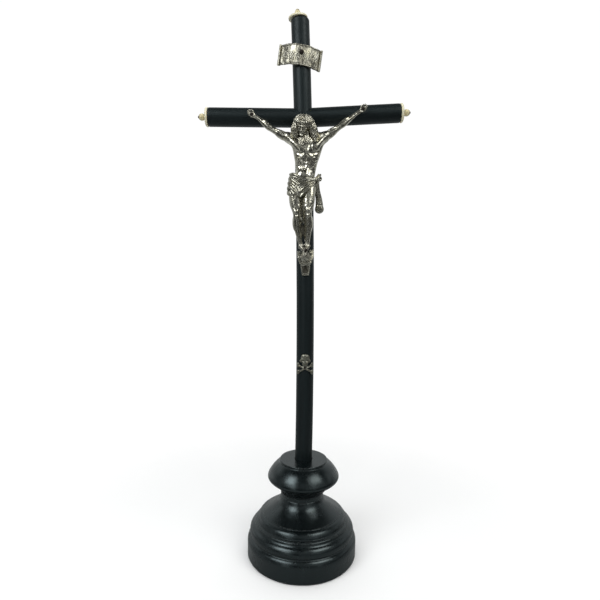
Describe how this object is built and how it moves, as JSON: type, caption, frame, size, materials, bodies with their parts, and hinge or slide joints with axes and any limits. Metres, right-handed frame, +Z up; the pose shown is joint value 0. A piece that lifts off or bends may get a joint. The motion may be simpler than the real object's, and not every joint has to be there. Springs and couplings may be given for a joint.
{
  "type": "altar cross",
  "caption": "Standing altar cross: ebonised round upright and arms on a turned foot, with bone caps, cast metal figure, footrest, scroll and skull emblem.",
  "frame": {"origin": "middle of the foot's underside, where the felt rests on the table", "axes": "+Z up the upright, +X to the right of a person facing the figure, -Y out of the front, the way the figure faces"},
  "size_m": [0.1866, 0.101, 0.4885],
  "materials": {
    "ebonised_wood": "ebonised turned hardwood, satin wax polish, faint lengthwise tool and grain streaks",
    "plain_wood": "bare beech dowel",
    "bone": "turned bone, polished, creamy, browned at the edges",
    "bone_finial": "turned bone, aged to tan, dark pin tip",
    "white_metal": "cast silver-coloured white metal, polished on the high places, dark yellow-brown patina in the recesses",
    "dull_brass": "thin stamped brass gone dull grey",
    "iron": "dark oxidised nail",
    "steel": "plain bright steel",
    "felt": "dark green wool felt"
  },
  "bodies": {
    "cross": {"felt_pad": "felt", "foot": "ebonised_wood", "knop": "ebonised_wood", "foot_screw": "steel", "screw_washer": "steel", "shaft": "ebonised_wood", "left_arm": "ebonised_wood", "right_arm": "ebonised_wood", "arm_dowel": "plain_wood", "left_end_cap": "bone", "right_end_cap": "bone", "top_end_cap": "bone", "left_finial": "bone_finial", "right_finial": "bone_finial", "top_finial": "bone_finial", "corpus_body": "white_metal", "corpus_left_arm": "white_metal", "corpus_right_arm": "white_metal", "left_hand_nail": "iron", "right_hand_nail": "iron", "feet_nail": "iron", "footrest": "white_metal", "titulus_nail": "iron", "skull_emblem": "dull_brass", "emblem_nail": "iron"},
    "titulus": {"titulus_scroll": "white_metal"}
  },
  "joints": [
    {"name": "titulus_swivel", "type": "hinge", "parent": "cross", "child": "titulus", "pos_m": [-0.00443, -0.0095, 0.44922], "axis": [0, -1, 0], "range_deg": [-6, 30]}
  ]
}
